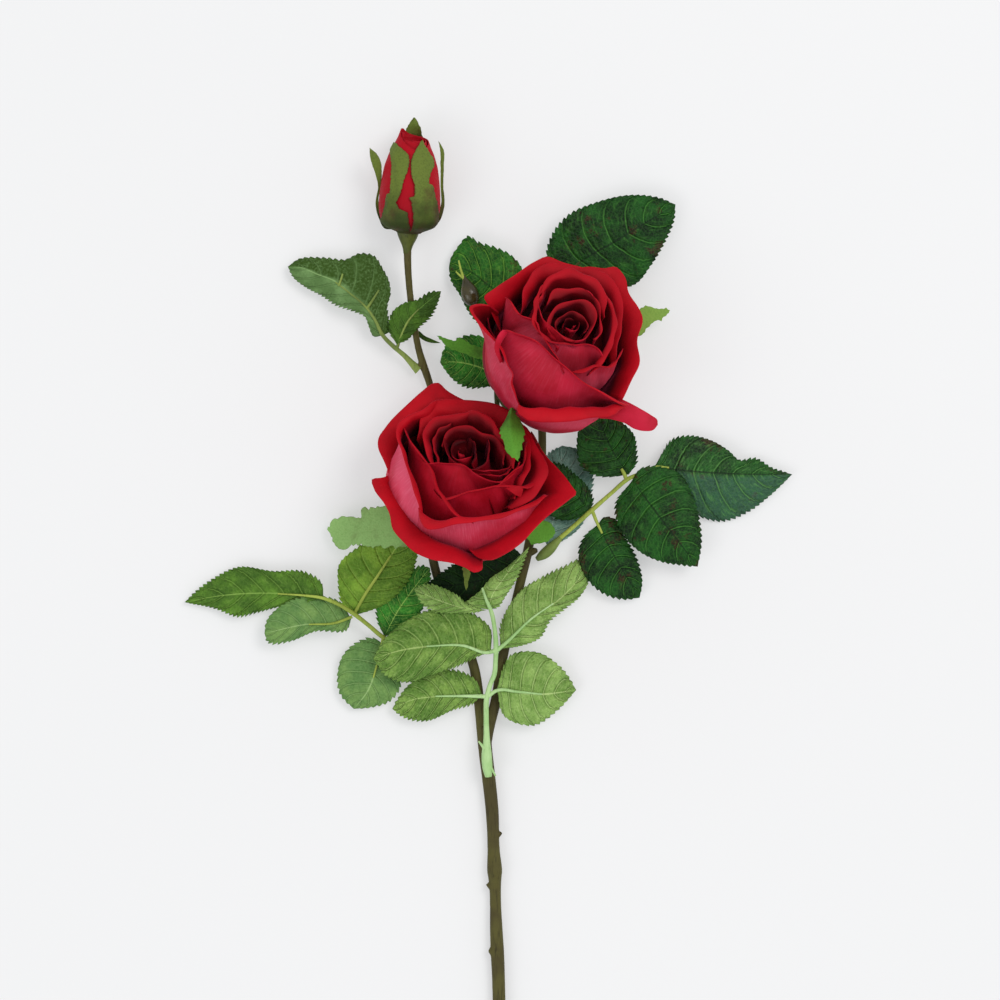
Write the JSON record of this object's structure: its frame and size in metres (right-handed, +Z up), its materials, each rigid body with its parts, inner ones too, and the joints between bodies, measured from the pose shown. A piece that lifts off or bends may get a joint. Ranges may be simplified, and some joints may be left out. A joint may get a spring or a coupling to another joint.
{
  "type": "cut rose spray",
  "caption": "Cut rose spray lying flat: two open crimson blooms and a bud on a forked stem, with five sprigs of toothed leaves.",
  "frame": {"origin": "middle of the bottom face of the spray's box, on the surface that it lies on", "axes": "+Y along the stem from the cut end to the bud, +Z up from the surface, +X to the right as seen from above"},
  "size_m": [0.2734, 0.4948, 0.0689],
  "materials": {
    "stem_bark": "dull olive-brown bark with fine lengthwise streaks",
    "leaf_stalk": "smooth pale lime green, slightly waxy",
    "leaf_top": "dark green with light veins, soft sheen and some brown-red patches",
    "leaf_underside": "light matt yellow-green with raised ribs",
    "sepal": "matt mid green with brown edges",
    "petal": "velvety crimson, pinker and finely streaked on the backs"
  },
  "bodies": {
    "root": {"branch_leaf_1": "leaf_top", "branch_leaf_2": "leaf_top", "bud_heart": "petal", "bud_hip": "sepal", "bud_sepal_1": "sepal", "bud_sepal_2": "sepal", "bud_sepal_3": "sepal", "bud_sepal_4": "sepal", "bud_sepal_5": "sepal", "bud_sprig_leaflet_1": "leaf_underside", "bud_sprig_leaflet_2": "leaf_underside", "bud_sprig_leaflet_3": "leaf_underside", "bud_sprig_rachis": "leaf_stalk", "front_sprig_leaflet_1": "leaf_underside", "front_sprig_leaflet_2": "leaf_underside", "front_sprig_leaflet_3": "leaf_underside", "front_sprig_leaflet_4": "leaf_underside", "front_sprig_leaflet_5": "leaf_underside", "front_sprig_leaflet_6": "leaf_underside", "front_sprig_rachis": "leaf_stalk", "left_sprig_leaflet_1": "leaf_underside", "left_sprig_leaflet_2": "leaf_underside", "left_sprig_leaflet_3": "leaf_underside", "left_sprig_leaflet_4": "leaf_underside", "left_sprig_leaflet_5": "leaf_top", "left_sprig_rachis": "leaf_stalk", "lower_bloom_heart": "petal", "lower_bloom_hip": "sepal", "lower_bloom_petal_1": "petal", "lower_bloom_petal_2": "petal", "lower_bloom_petal_3": "petal", "lower_bloom_petal_4": "petal", "lower_bloom_petal_5": "petal", "lower_bloom_petal_6": "petal", "lower_bloom_sepal_1": "sepal", "lower_bloom_sepal_2": "sepal", "lower_bloom_sepal_3": "sepal", "main_stem": "stem_bark", "right_sprig_leaflet_1": "leaf_top", "right_sprig_leaflet_2": "leaf_top", "right_sprig_leaflet_3": "leaf_top", "right_sprig_leaflet_4": "leaf_top", "right_sprig_leaflet_5": "leaf_top", "right_sprig_rachis": "leaf_stalk", "top_sprig_leaflet_1": "leaf_top", "top_sprig_leaflet_2": "leaf_top", "top_sprig_leaflet_3": "leaf_top", "top_sprig_rachis": "stem_bark", "upper_bloom_heart": "petal", "upper_bloom_hip": "sepal", "upper_bloom_petal_1": "petal", "upper_bloom_petal_2": "petal", "upper_bloom_petal_3": "petal", "upper_bloom_petal_4": "petal", "upper_bloom_petal_5": "petal", "upper_bloom_petal_6": "petal", "upper_bloom_petal_7": "petal", "upper_bloom_sepal_1": "sepal", "upper_bloom_sepal_2": "sepal", "upper_bloom_sepal_3": "sepal"}
  },
  "joints": []
}
